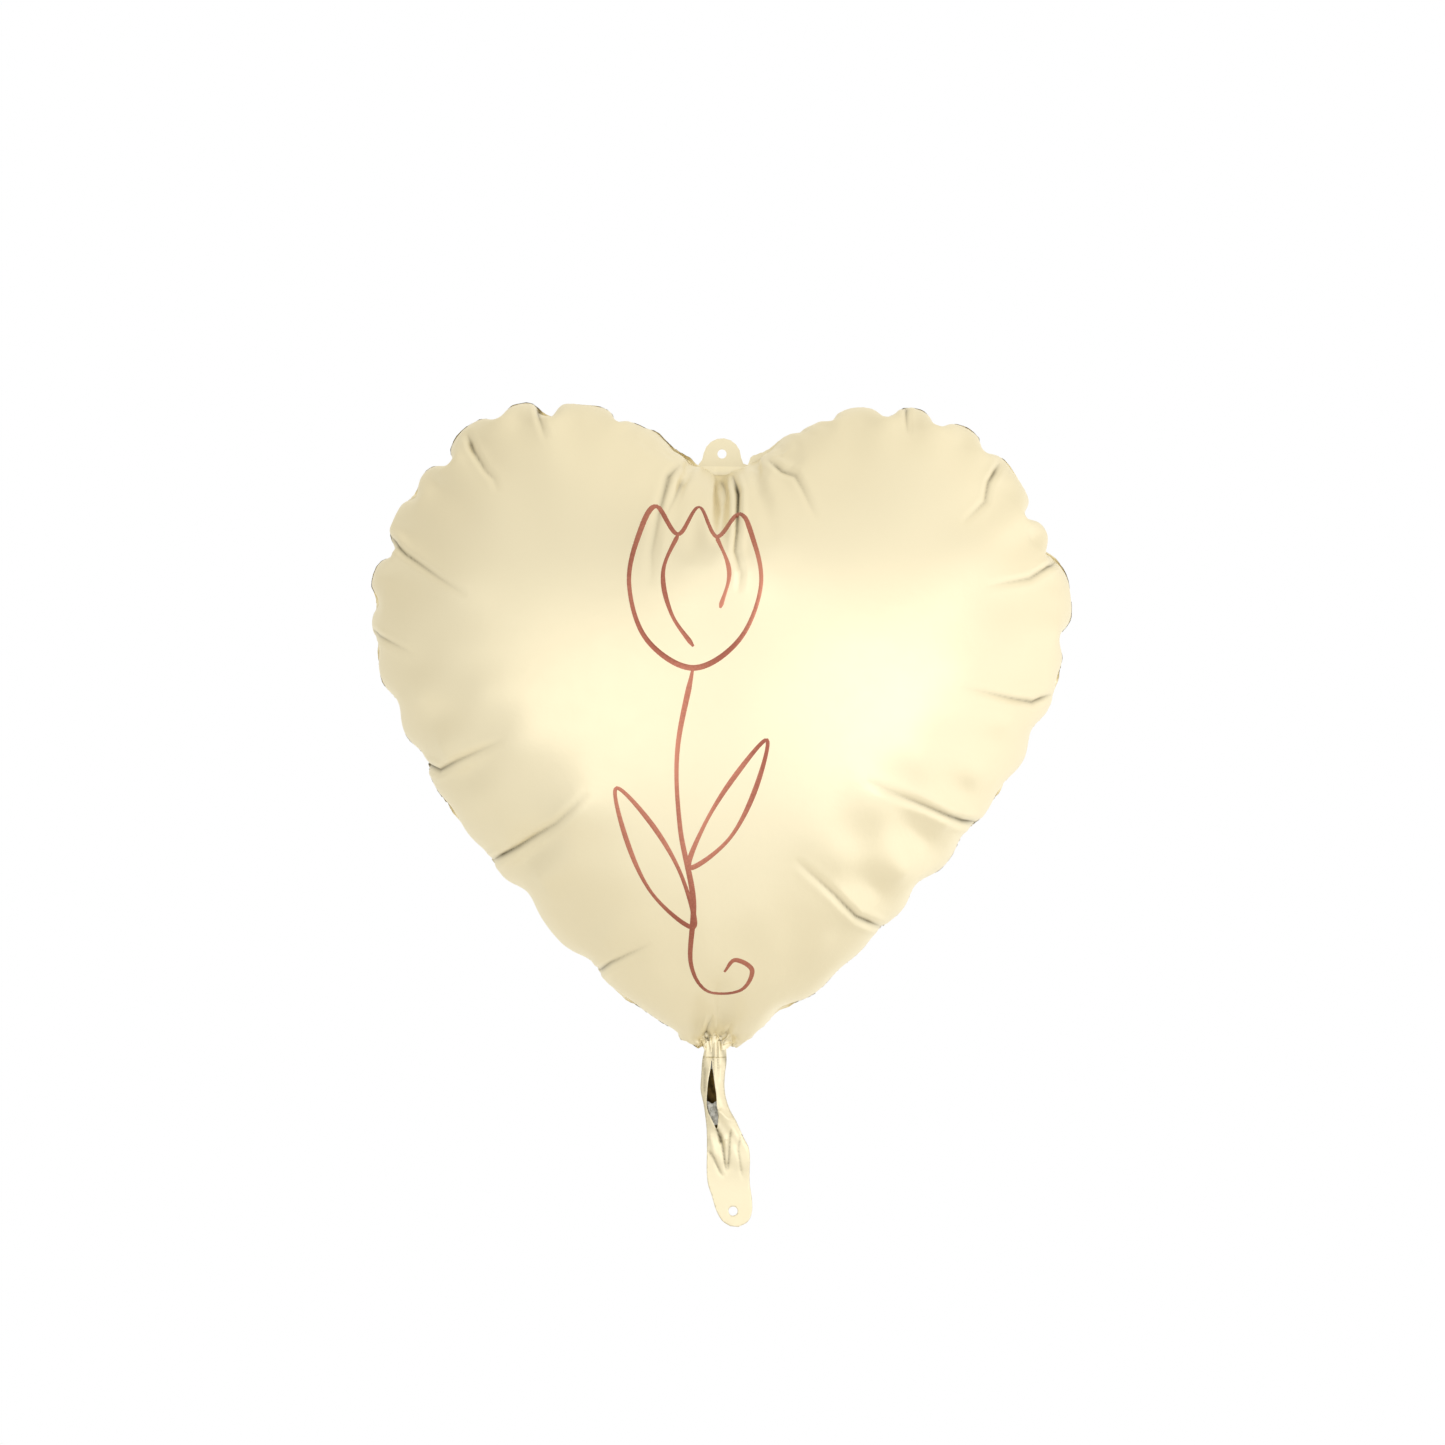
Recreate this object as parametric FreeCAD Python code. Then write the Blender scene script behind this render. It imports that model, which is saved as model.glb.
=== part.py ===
"""Heart-shaped foil balloon, inflated: two foil panels welded round their edge, a punched hanging tab in
the notch, and a gathered neck that ends in a limp tail with a fill slot, a two-film valve and a punched hole.

Frame: origin at the centre of the hanging tab's hole, +Z up, +X to the right seen from the printed front,
-Y out of the printed front. The two films meet on the plane Y = 0. Units are millimetres.
"""
import FreeCAD, Part
import math
import os

Vec = FreeCAD.Vector

# ---- driving dimensions -------------------------------------------------------------------------------
FILM = 0.4                # thickness given to each foil ply
VALVE_FILM = 0.3          # thickness given to each clear valve film
HOLE_R = 2.5              # punched holes, 5 mm

HALF_WIDTH = 192.5        # heart, centre line to the outer edge of the weld
LOBE_TOP = 30.0           # height of the two lobes above the hole
NOTCH = -9.0              # lowest point of the notch between the lobes
TIP = -325.0              # bottom point of the heart
BELLY = 100.0             # crown of each panel, measured from the weld plane
BELLY_CENTRE = -128.0     # height of the crown
BELLY_R = 150.0           # radius that the sections round off to near the crown
WELD = 5.0                # width of the heat-sealed edge

TAB_WIDTH = 24.0          # hanging tab at its root
TAB_TOP = 8.8             # top of the tab above the hole
TAB_TOP_R = 10.4          # radius of its round top
TAB_FOLD_Z = -6.0         # line about which the tab folds
FOLD_GAP = 0.8            # clearance left each side of that line
TAB_ROOT = 12.0           # how far the tab's root runs down onto the heart's weld

SWAY_Z = -331.4           # centre about which the gathered neck sways
NECK_HALF = 5.6           # half width of the neck, and radius of its round top
NECK_BULGE = 2.0          # depth of each neck ply
NECK_END = -337.0
SIDE_WELD = 1.2           # welded side seams of the neck and tail

FLAP_Z = -341.0           # line about which the tail flaps
TAIL_TOP_R = 2.2          # round top of the tail about that line
HOLE_X, HOLE_Z = 11.6, -414.0           # hole in the tail's end
SLOT_HALF = 3.6                         # fill slot in the front ply, pointed at both ends
SLOT_TOP, SLOT_END = -342.5, -365.5

SLEEVE_TOP, SLEEVE_HALF = -226.0, 12.0  # the valve's upper end inside the heart
SLEEVE_LOW = -315.0                     # where the valve enters the heart
VALVE_HALF = 3.0                        # half width of the valve in the neck

# Right half of the heart's outline from notch to tip. The left half is its mirror image.
HALF_OUTLINE = [(0, NOTCH), (18, -4), (34, 9), (55, 23), (84, LOBE_TOP), (117, 24), (146, 5), (171, -26),
                (187, -62), (HALF_WIDTH, -96), (181, -136), (146, -199), (107, -244), (64, -288), (22, -318)]

# The tail's sections from the flap line down: centre, half width, bulge and height.
TAIL_SECTIONS = [(0.0, 6.2, 2.0, -338.0), (0.0, 6.8, 3.0, -346.0), (0.6, 7.6, 4.4, -355.0),
                 (3.0, 8.6, 4.2, -364.0), (6.8, 10.6, 2.6, -375.0)]
END_SECTION = (8.4, 11.9, 1.0, -387.0)  # where its welded end has flattened

# Outline of that flat end: left side, the lowest point, then the right side.
END_LEFT = [(-3.5, -387.0), (-3.3, -396.0), (-0.5, -405.0), (2.6, -414.0)]
END_LOW = (12.9, -422.8)
END_RIGHT = [(22.6, -413.0), (20.3, -387.0)]

# The valve's mouth inside the tail: it follows the tail's lean.
MOUTH = [(-2.6, -347.0), (2.6, -347.0), (7.0, -366.0), (-0.5, -366.0)]


# ---- the heart ------------------------------------------------------------------------------------------
def outline_points():
    """The whole outline: the right half from notch to tip, the tip, then the left half back up."""
    left = [(-x, z) for x, z in reversed(HALF_OUTLINE[1:])]
    return HALF_OUTLINE + [(0, TIP)] + left


def closed_curve(points, y):
    curve = Part.BSplineCurve()
    curve.interpolate([Vec(x, y, z) for x, z in points], PeriodicFlag=True)
    return Part.Wire([curve.toShape()])


def inset_points(distance):
    """The outline moved inward by a distance, square to the line through each point's neighbours."""
    points = outline_points()
    moved = []
    for i, (x, z) in enumerate(points):
        x0, z0 = points[i - 1]
        x1, z1 = points[(i + 1) % len(points)]
        length = math.hypot(x1 - x0, z1 - z0)
        moved.append((x + distance * (z1 - z0) / length, z - distance * (x1 - x0) / length))
    return moved


def dome(inset, belly):
    """A solid belly on the weld plane: heart-shaped sections that shrink and round off towards the crown."""
    base = inset_points(inset)
    sections = []
    for degrees in (0, 15, 30, 45, 60, 75):
        angle = math.radians(degrees)
        roundness = math.sin(angle) ** 2
        ring = []
        for x, z in base:
            dz = z - BELLY_CENTRE
            shrink = math.cos(angle) * (1 - roundness + roundness * BELLY_R / math.hypot(x, dz))
            ring.append((x * shrink, BELLY_CENTRE + dz * shrink))
        sections.append(closed_curve(ring, -belly * math.sin(angle)))
    crown = Part.Vertex(Vec(0, -belly, BELLY_CENTRE))
    return Part.makeLoft(sections + [crown], True, False)


def front_panel():
    """A hollow dome with its flat weld edge, and the tab's root up to just below the fold line."""
    edge = Part.Face(closed_curve(outline_points(), 0)).extrude(Vec(0, -FILM, 0))
    root_top = TAB_FOLD_Z - FOLD_GAP
    root = Part.makeBox(TAB_WIDTH, FILM, TAB_ROOT, Vec(-TAB_WIDTH / 2, -FILM, root_top - TAB_ROOT))
    above_fold = Part.makeBox(TAB_WIDTH, 2 * FILM, TAB_ROOT, Vec(-TAB_WIDTH / 2, -2 * FILM, root_top))
    panel = edge.fuse([root, dome(WELD, BELLY)]).cut(dome(WELD + FILM, BELLY - FILM)).cut(above_fold)
    return panel.removeSplitter()


def to_back(shape):
    """The same piece on the unprinted side."""
    return shape.mirror(Vec(0, 0, 0), Vec(0, 1, 0))


# ---- the hanging tab ------------------------------------------------------------------------------------
def punched(shape, x, z):
    reach = 10 * FILM
    return shape.cut(Part.makeCylinder(HOLE_R, 2 * reach, Vec(x, -reach, z), Vec(0, 1, 0)))


def tab_ply():
    """Round top above the hole, with straight sides that spread to the fold line."""
    low = TAB_FOLD_Z + FOLD_GAP
    half = TAB_WIDTH / 2
    side = Vec(TAB_TOP_R, 0, TAB_TOP - TAB_TOP_R)
    top = Part.Arc(side, Vec(0, 0, TAB_TOP), Vec(-side.x, 0, side.z))
    rest = Part.makePolygon([Vec(-side.x, 0, side.z), Vec(-half, 0, low), Vec(half, 0, low), side])
    face = Part.Face(Part.Wire([top.toShape()] + rest.Edges))
    return punched(face.extrude(Vec(0, -FILM, 0)), 0, 0)


# ---- neck and tail --------------------------------------------------------------------------------------
def half_lens(centre, half, bulge, z):
    """The section of a pouch's front half: an arc of that bulge on the weld plane."""
    left, right = Vec(centre - half, 0, z), Vec(centre + half, 0, z)
    arc = Part.Arc(left, Vec(centre, -bulge, z), right)
    return Part.Wire([arc.toShape(), Part.makeLine(right, left)])


def pouch(sections, side_inset=0.0, wall=0.0):
    """A solid through half-lens sections, drawn in by a seam at each side and by a wall at the front."""
    return Part.makeLoft([half_lens(c, w - side_inset, b - wall, z) for c, w, b, z in sections], True, False)


def rounded_top(shape, radius, axis, z, length):
    """Keeps what lies inside a roller about a hinge line, and everything down to a length below it."""
    side = 4 * radius
    roller = Part.makeCylinder(radius, 2 * side, Vec(0, 0, z) - axis * side, axis)
    below = Part.makeBox(2 * length, 2 * length, length, Vec(-length, -length, z - length))
    return shape.common(roller.fuse(below))


def neck_ply():
    sections = [(0, NECK_HALF, NECK_BULGE, z) for z in (SWAY_Z + NECK_HALF, SWAY_Z, NECK_END)]
    shell = pouch(sections).cut(pouch(sections, SIDE_WELD, FILM))
    return rounded_top(shell, NECK_HALF, Vec(0, 1, 0), SWAY_Z, TAB_WIDTH)


def tail_ply():
    """The open part of the tail, a pouch round the valve's mouth that starts at the flap line."""
    shell = pouch(TAIL_SECTIONS).cut(pouch(TAIL_SECTIONS, SIDE_WELD, FILM))
    return rounded_top(shell, TAIL_TOP_R, Vec(1, 0, 0), FLAP_Z, FLAP_Z - TAIL_SECTIONS[-1][-1])


def flat_end():
    """The flat end: its left edge slants in, its right edge is nearly straight, and its end is round."""
    left = Part.BSplineCurve()
    left.interpolate([Vec(x, 0, z) for x, z in END_LEFT])
    right = [Vec(x, 0, z) for x, z in END_RIGHT]
    end = Part.Arc(left.EndPoint, Vec(END_LOW[0], 0, END_LOW[1]), right[0])
    sides = [Part.makeLine(*right), Part.makeLine(right[1], left.StartPoint)]
    return Part.Face(Part.Wire([left.toShape(), end.toShape()] + sides)).extrude(Vec(0, -FILM, 0))


def tail_end():
    """Below the pouch both plies are welded into one: they taper from its foot and end flat and punched."""
    front = pouch([TAIL_SECTIONS[-1], END_SECTION]).fuse(flat_end())
    return punched(front.fuse(to_back(front)), HOLE_X, HOLE_Z)


def fill_slot():
    """The slot as a cutter: a lens that is pointed at both ends."""
    top, end = Vec(0, 0, SLOT_TOP), Vec(0, 0, SLOT_END)
    middle = (top + end) / 2
    sides = [Part.Arc(top, middle + Vec(half, 0, 0), end).toShape() for half in (SLOT_HALF, -SLOT_HALF)]
    return Part.Face(Part.Wire(sides)).extrude(Vec(0, -4 * SLOT_HALF, 0))


# ---- the valve: two clear films that the gas presses together ---------------------------------------------
def front_film(corners):
    """A flat film with straight edges, just in front of the weld plane."""
    points = [Vec(x, -VALVE_FILM / 2, z) for x, z in corners]
    return Part.Face(Part.makePolygon(points + points[:1])).extrude(Vec(0, -VALVE_FILM, 0))


def sleeve_film():
    """Where the valve lies inside the heart: as wide as the neck at its foot, then at full width."""
    shoulder = SLEEVE_LOW + 1.5 * SLEEVE_HALF
    right = [(2 * VALVE_HALF, SLEEVE_LOW), (SLEEVE_HALF, shoulder), (SLEEVE_HALF, SLEEVE_TOP)]
    return front_film(right + [(-x, z) for x, z in reversed(right)])


def neck_films():
    """Both films where they pass through the neck, which are sealed in and never seen."""
    top, low = SWAY_Z + 2 * VALVE_FILM, NECK_END + 2 * VALVE_FILM
    film = front_film([(-VALVE_HALF, top), (VALVE_HALF, top), (VALVE_HALF, low), (-VALVE_HALF, low)])
    return Part.makeCompound([film, to_back(film)])


# ---- write every piece ----------------------------------------------------------------------------------
panel, tab, neck, tail, sleeve, mouth = (
    front_panel(), tab_ply(), neck_ply(), tail_ply(), sleeve_film(), front_film(MOUTH))
nodes = {
    "front_panel": panel, "back_panel": to_back(panel),
    "tab_front_ply": tab, "tab_back_ply": to_back(tab),
    "neck_front_ply": neck, "neck_back_ply": to_back(neck),
    "tail_front_ply": tail.cut(fill_slot()), "tail_back_ply": to_back(tail), "tail_end": tail_end(),
    "valve_sleeve_front": sleeve, "valve_sleeve_back": to_back(sleeve),
    "valve_neck_films": neck_films(),
    "valve_front_film": mouth, "valve_back_film": to_back(mouth),
}
os.makedirs("parts", exist_ok=True)
for name, shape in nodes.items():
    box = shape.BoundBox
    print(f"{name}: {len(shape.Solids)} solid, valid {shape.isValid()}, {shape.Volume:.0f} mm3, "
          f"x {box.XMin:.1f} {box.XMax:.1f} y {box.YMin:.1f} {box.YMax:.1f} z {box.ZMin:.1f} {box.ZMax:.1f}")
    shape.exportStep(f"parts/{name}.step")
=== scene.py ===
# %% [markdown]
# # A foil heart balloon
# The real thing is two sheets of metallised film, welded flat along a heart-shaped line and then blown up.
# Nothing in it is moulded: every bulge, pucker and fold comes from a flat sheet that can't stretch.
# So the lesson cuts the same flat sheets, welds and inflates them, and lets the folds form by themselves.
#
# The imported part is the fixed frame; the bag's sheets, the print and the valve films are placed on its
# bodies.

# %% Load the frame
import math
import bpy
import numpy as np
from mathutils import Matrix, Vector
from mathutils.geometry import delaunay_2d_cdt


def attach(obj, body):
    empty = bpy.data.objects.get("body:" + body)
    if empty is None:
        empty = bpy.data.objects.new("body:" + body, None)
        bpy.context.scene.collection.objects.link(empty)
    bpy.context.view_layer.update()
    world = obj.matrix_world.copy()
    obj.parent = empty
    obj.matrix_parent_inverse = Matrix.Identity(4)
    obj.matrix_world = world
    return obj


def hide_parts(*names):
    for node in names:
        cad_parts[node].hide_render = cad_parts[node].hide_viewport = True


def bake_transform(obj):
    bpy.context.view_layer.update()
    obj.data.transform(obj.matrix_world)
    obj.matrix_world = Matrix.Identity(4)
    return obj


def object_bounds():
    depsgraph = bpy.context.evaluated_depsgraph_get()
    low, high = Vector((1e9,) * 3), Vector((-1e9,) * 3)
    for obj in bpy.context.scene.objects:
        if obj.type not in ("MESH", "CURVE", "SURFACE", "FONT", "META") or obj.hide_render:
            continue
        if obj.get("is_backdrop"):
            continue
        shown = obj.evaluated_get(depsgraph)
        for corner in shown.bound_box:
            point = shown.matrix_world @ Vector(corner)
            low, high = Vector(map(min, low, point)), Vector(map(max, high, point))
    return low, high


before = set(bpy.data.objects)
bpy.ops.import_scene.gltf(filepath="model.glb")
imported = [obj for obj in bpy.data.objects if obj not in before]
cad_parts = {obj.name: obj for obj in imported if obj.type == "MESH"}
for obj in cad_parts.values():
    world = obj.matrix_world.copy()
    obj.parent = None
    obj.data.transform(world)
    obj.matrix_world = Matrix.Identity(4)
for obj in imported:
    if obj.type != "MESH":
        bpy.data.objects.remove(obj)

cad_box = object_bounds()
MM = 0.001                      # the cut is drawn in millimetres, the scene is in metres
print("CAD box, mm:", [[round(c / MM, 1) for c in corner] for corner in cad_box])

# %% [markdown]
# ## Lines that a pattern maker draws
# A balloon pattern is a few points joined by a fair curve.
# The curve through the points is a Catmull-Rom spline, resampled at an even step, because even steps make
# even triangles and even springs later on.

# %% Smooth lines
def smooth_line(points, step, closed=False):
    """Catmull-Rom curve through the points, then points spaced evenly along its length."""
    p = np.asarray(points, float)
    if closed:
        a, b, c, d = (np.roll(p, k, 0)[:, None] for k in (1, 0, -1, -2))
    else:
        q = np.vstack([2 * p[0] - p[1], p, 2 * p[-1] - p[-2]])[:, None]
        a, b, c, d = q[:-3], q[1:-2], q[2:-1], q[3:]
    t = np.linspace(0, 1, 24, endpoint=False)[None, :, None]
    curve = 0.5 * (2 * b + (c - a) * t + (2 * a - 5 * b + 4 * c - d) * t**2 + (3 * b - a - 3 * c + d) * t**3)
    return even_line(np.vstack([curve.reshape(-1, p.shape[1]), p[:1] if closed else p[-1:]]), step, closed)


def even_line(line, step, closed=False):
    """The same line with points at equal distances along it."""
    s = np.r_[0, np.cumsum(np.linalg.norm(np.diff(line, axis=0), axis=1))]
    u = np.linspace(0, s[-1], int(round(s[-1] / step)) + 1)[:-1 if closed else None]
    return np.stack([np.interp(u, s, column) for column in line.T], 1)


def inside(p, loop):
    """True for the points that a ray to the left leaves through the loop an odd number of times."""
    x, z = p[:, :1], p[:, 1:]
    a, b = loop[None], np.roll(loop, -1, 0)[None]
    rise = np.where(b[..., 1] == a[..., 1], 1e-12, b[..., 1] - a[..., 1])
    crossing = a[..., 0] + (z - a[..., 1]) / rise * (b[..., 0] - a[..., 0])
    return (((a[..., 1] > z) != (b[..., 1] > z)) & (x < crossing)).sum(1) % 2 == 1


def nearest(p, line):
    """Distance to the closest point of the line, and which point that is."""
    apart, which = np.full(len(p), 1e9), np.zeros(len(p), int)
    for k in range(0, len(line), 256):
        d = np.linalg.norm(p[:, None] - line[None, k:k + 256], axis=2)
        near = d.min(1)
        closer = near < apart
        apart[closer], which[closer] = near[closer], k + d.argmin(1)[closer]
    return apart, which


# %% [markdown]
# ## The flat cut
# The seam is the line where the two films are welded. Outside it runs a welded rim, 5 mm wide, which at the
# notch between the lobes grows into a small punched tab for a hook.
# A flat heart is wider and taller than the blown one: the film goes from edge to edge over the bulge instead
# of straight across, so the seam is drawn about a fifth wider than the balloon should end up.

# %% Seam, rim and tab
WELD = 5.0                      # width of the welded rim
HOLE_R = 2.5                    # radius of the punched holes
HOLE_ABOVE = 11.5               # height of the tab's hole above the seam at the notch
TAB_R, TAB_LOW = 10.4, 1.6      # the tab's round end, and how far its centre lies below the hole
ROOT = (13.6, 6.8)              # the tab's fold line: half its width, and how far below the hole it runs
FLARE = (11.2, 4.6)             # the same for the line where the tab starts to widen
OPEN_RIM = 16.0                 # half the width of the rim that the tab stands in for
FINE, COARSE = 3.8, 8.5         # triangle size by the seam, and in the smooth middle
BAND = 42.0                     # how far from the seam the fine triangles go

half_seam = np.array(((0, 62.0), (21, 64.8), (49, 71.0), (89, 75.0), (130, 68.7), (166.7, 50), (198, 19.3),
                      (219.8, -16.5), (234, -57.7), (237, -97.3), (230.3, -139.3), (212.3, -186.5),
                      (186, -230.3), (151, -272), (107.8, -312), (57.5, -343.7), (0, -364)), float)
whole_seam = np.vstack([half_seam, half_seam[1:-1][::-1] * [-1, 1]])
seam = smooth_line(whole_seam, FINE, closed=True)
along = np.roll(seam, -1, 0) - np.roll(seam, 1, 0)
outward = np.c_[-along[:, 1], along[:, 0]] / np.linalg.norm(along, axis=1)[:, None]
hole_z = half_seam[0, 1] + HOLE_ABOVE

rim = seam + outward * WELD
open_rim = rim[~((abs(rim[:, 0]) < OPEN_RIM) & (rim[:, 1] > 0))]
turn = np.linspace(math.pi, 0, 9)
tab_round = np.c_[TAB_R * np.cos(turn), hole_z - TAB_LOW + TAB_R * np.sin(turn)]
tab_root, flare = (np.array([[-half, hole_z - below], [half, hole_z - below]])
                   for half, below in (ROOT, FLARE))
tab_outline = np.vstack([tab_root[:1], flare[:1], tab_round, flare[1:], tab_root[1:]])
rim = even_line(np.vstack([open_rim, tab_outline, open_rim[:1]]), FINE, closed=True)
turn = np.linspace(0, 2 * math.pi, 24, endpoint=False)
hole = np.c_[HOLE_R * np.cos(turn), hole_z + HOLE_R * np.sin(turn)]

seam_length = np.linalg.norm(along, axis=1).sum() / 2
print("flat cut, mm:", np.ptp(rim, axis=0).round(1), "seam", round(seam_length))

# %% [markdown]
# ## From a cut to triangles
# A sheet that folds needs triangles that are small where the folds are. Puckers live by the seam, so the
# lattice is fine there and coarse in the smooth middle. A constrained Delaunay triangulation keeps the seam,
# the rim, the hole and the tab's fold line as edges.

# %% Triangulate
rng = np.random.default_rng(3)


def lattice(low, high, step, jitter=0.12):
    """Rows of points shifted by half a step, each moved a little so that no fold prefers a direction."""
    rise = step * math.sqrt(3) / 2
    row, col = np.mgrid[0:int((high[1] - low[1]) / rise) + 2, 0:int((high[0] - low[0]) / step) + 2]
    grid = np.stack([low[0] + (col + 0.5 * (row % 2)) * step, low[1] + row * rise], -1).reshape(-1, 2)
    return grid + rng.uniform(-1, 1, grid.shape) * jitter * step


def ring_edges(first, count, closed=True):
    """Pairs of neighbours along a run of points."""
    i = np.arange(count if closed else count - 1)
    return np.c_[first + i, first + (i + 1) % count]


def triangulate(points, edges):
    """Constrained Delaunay triangles of flat points; the given edges are kept."""
    v, _, f, *_ = delaunay_2d_cdt([Vector(q) for q in points], edges.tolist(), [], 1, 1e-6)
    assert len(v) == len(points)
    return np.array([t for t in f if len(t) == 3])


fold_line = even_line(tab_root, 2.0)[1:-1]
fixed = np.vstack([seam, rim, hole, fold_line])
fine = lattice(rim.min(0), rim.max(0), FINE)
fine = fine[inside(fine, rim) & ~inside(fine, hole)]
from_seam, _ = nearest(fine, seam)
under_notch = (abs(fine[:, 0]) < 34) & (fine[:, 1] > -60)
fine = fine[(nearest(fine, fixed)[0] > 0.6 * FINE) & ((from_seam < BAND) | under_notch)]
wide = lattice(rim.min(0), rim.max(0), COARSE)
wide = wide[inside(wide, seam)]
wide = wide[(nearest(wide, seam)[0] > BAND + 0.4 * COARSE) & (nearest(wide, fine)[0] > 0.6 * COARSE)]
free = np.vstack([fine, wide])
in_film = inside(free, seam)
cut = np.vstack([seam, free[in_film], rim, hole, fold_line, free[~in_film]])
n_seam, n_film = len(seam), int(in_film.sum())
at_rim = n_seam + n_film
at_hole = at_rim + len(rim)
at_fold = at_hole + len(hole)
root = at_rim + np.array([np.argmin(np.linalg.norm(rim - corner, axis=1)) for corner in tab_root])
fold_chain = np.r_[root[0], at_fold + np.arange(len(fold_line)), root[1]]
edges = np.vstack([ring_edges(0, n_seam), ring_edges(at_rim, len(rim)), ring_edges(at_hole, len(hole)),
                   np.c_[fold_chain[:-1], fold_chain[1:]]])
tris = triangulate(cut, edges)
middle = cut[tris].mean(1)
tris = tris[~inside(middle, hole)]
middle = cut[tris].mean(1)
film = inside(middle, seam)
on_tab = ~film & (middle[:, 1] > hole_z - ROOT[1]) & (abs(middle[:, 0]) < ROOT[0])
print("cut:", len(cut), "points,", len(tris), "triangles")

# %% [markdown]
# ## Two sheets, one weld
# The front and back films are the same triangles twice, sharing only the points of the seam. The rim is
# welded, so it is one sheet. Each part of the mesh gets a number: 0 front film, 1 back film, 2 rim, 3 tab.

# %% Weld the sheets
n_cut = len(cut)
twin = np.arange(n_cut)
twin[n_seam:at_rim] = n_cut + np.arange(n_film)
flat = np.vstack([cut, cut[n_seam:at_rim]])
layer = np.zeros(len(flat), int)                # 0 seam and rim, 1 front film, 2 back film
layer[n_seam:at_rim] = 1
layer[n_cut:] = 2
corner = cut[tris[0]]
if np.cross(corner[1] - corner[0], corner[2] - corner[0]) < 0:
    tris = tris[:, ::-1]
faces = np.vstack([tris[film], twin[tris[film]][:, ::-1], tris[~film]])
part = np.r_[np.zeros(film.sum(), int), np.ones(film.sum(), int), 2 + on_tab[~film]]


def at_corners(v, f, count):
    """The sum, at each of count points, of the vectors v of the triangles f that meet there."""
    return np.stack([sum(np.bincount(f[:, j], v[:, x], count) for j in range(3)) for x in range(3)], 1)


class Sheet:
    """Film as points joined by springs that hardly give: flat is the cut, p the points in space."""

    def __init__(self, flat, faces, part, layer, p):
        self.flat, self.faces, self.part, self.layer, self.p = flat, faces, part, layer, p
        self.v = np.zeros_like(p)
        self.springs()

    def springs(self):
        """Every edge, and every pair of corners across an edge, with its flat length; each list is dealt into
        groups in which no point occurs twice, so that a whole group can be solved as one array."""
        e = np.sort(np.vstack([self.faces[:, [0, 1]], self.faces[:, [1, 2]], self.faces[:, [2, 0]]]), axis=1)
        apex = np.r_[self.faces[:, 2], self.faces[:, 0], self.faces[:, 1]]
        key = e[:, 0] * len(self.p) + e[:, 1]
        order = np.argsort(key, kind="stable")
        key, apex, e = key[order], apex[order], e[order]
        first = np.r_[True, key[1:] != key[:-1]]
        run = np.diff(np.r_[np.nonzero(first)[0], len(key)])
        pair = np.nonzero(first)[0][run == 2]
        self.edges = e[first]
        self.hinges = np.c_[apex[pair], apex[pair + 1]]
        self.edge_sets = self.deal(self.edges)
        self.hinge_sets = self.deal(self.hinges)

    def deal(self, pairs):
        """Rounds of random lots: a pair goes in the round if its lot is the highest at both of its points."""
        length = np.linalg.norm(self.flat[pairs[:, 0]] - self.flat[pairs[:, 1]], axis=1)
        left, sets = np.nonzero(length > 0.3 * np.median(length))[0], []
        while len(left):
            lot, best = rng.random(len(left)), np.zeros(len(self.p))
            a, b = pairs[left].T
            np.maximum.at(best, a, lot)
            np.maximum.at(best, b, lot)
            wins = (best[a] == lot) & (best[b] == lot)
            sets.append((pairs[left[wins]], length[left[wins]]))
            left = left[~wins]
        return sets

    def refine(self):
        """Each triangle becomes four, with a new point at the middle of every edge."""
        n, e = len(self.p), self.edges
        key = e[:, 0] * n + e[:, 1]
        a, b, c = self.faces.T
        ab, bc, ca = (n + np.searchsorted(key, np.minimum(i, j) * n + np.maximum(i, j))
                      for i, j in ((a, b), (b, c), (c, a)))
        self.faces = np.vstack([np.c_[a, ab, ca], np.c_[ab, b, bc], np.c_[ca, bc, c], np.c_[ab, bc, ca]])
        self.part = np.tile(self.part, 4)
        self.layer = np.r_[self.layer, self.layer[e].max(1)]
        self.flat = np.vstack([self.flat, self.flat[e].mean(1)])
        self.p = np.vstack([self.p, self.p[e].mean(1)])
        self.v = np.zeros_like(self.p)
        self.springs()

    def pressure(self, push):
        """Push times the area and outward direction of each film triangle, shared by its three corners."""
        f = self.faces[self.part < 2]
        a, b, c = self.p[f[:, 0]], self.p[f[:, 1]], self.p[f[:, 2]]
        return at_corners(np.cross(b - a, c - a) * (push / 6), f, len(self.p))

    def pull(self, sets, share, give=1.0):
        """Each spring moves its two ends towards its flat length; a squeezed one gives way a little."""
        for pairs, length in sets:
            i, j = pairs.T
            d = self.p[j] - self.p[i]
            now = np.sqrt((d * d).sum(1))
            w = (now - length) / np.maximum(now, 1e-9) * 0.5 * share
            w = np.where(w < 0, w * give, w)
            d *= w[:, None]
            self.p[i] += d
            self.p[j] -= d

    def blow(self, steps, push, bend, give, hold, sweeps=6, drag=0.97):
        """Position-based dynamics: move on with the speed and the pressure, then pull the springs in turn."""
        for _ in range(steps):
            old = self.p.copy()
            self.p = self.p + self.v + self.pressure(push)
            for _ in range(sweeps):
                self.pull(self.edge_sets, 1.0, give)
                self.pull(self.hinge_sets, bend)
            hold(self)
            self.v = (self.p - old) * drag


# %% [markdown]
# ## Where the folds begin
# The rim of a blown foil balloon is too long for its new, smaller outline, so it buckles into scallops. Where
# each one sits is chance on the real thing: a crease from packing, a thicker spot in the weld.
# Here the chance is a list: how far along the seam from notch to tip each fold starts, and how strong it is.

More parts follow.
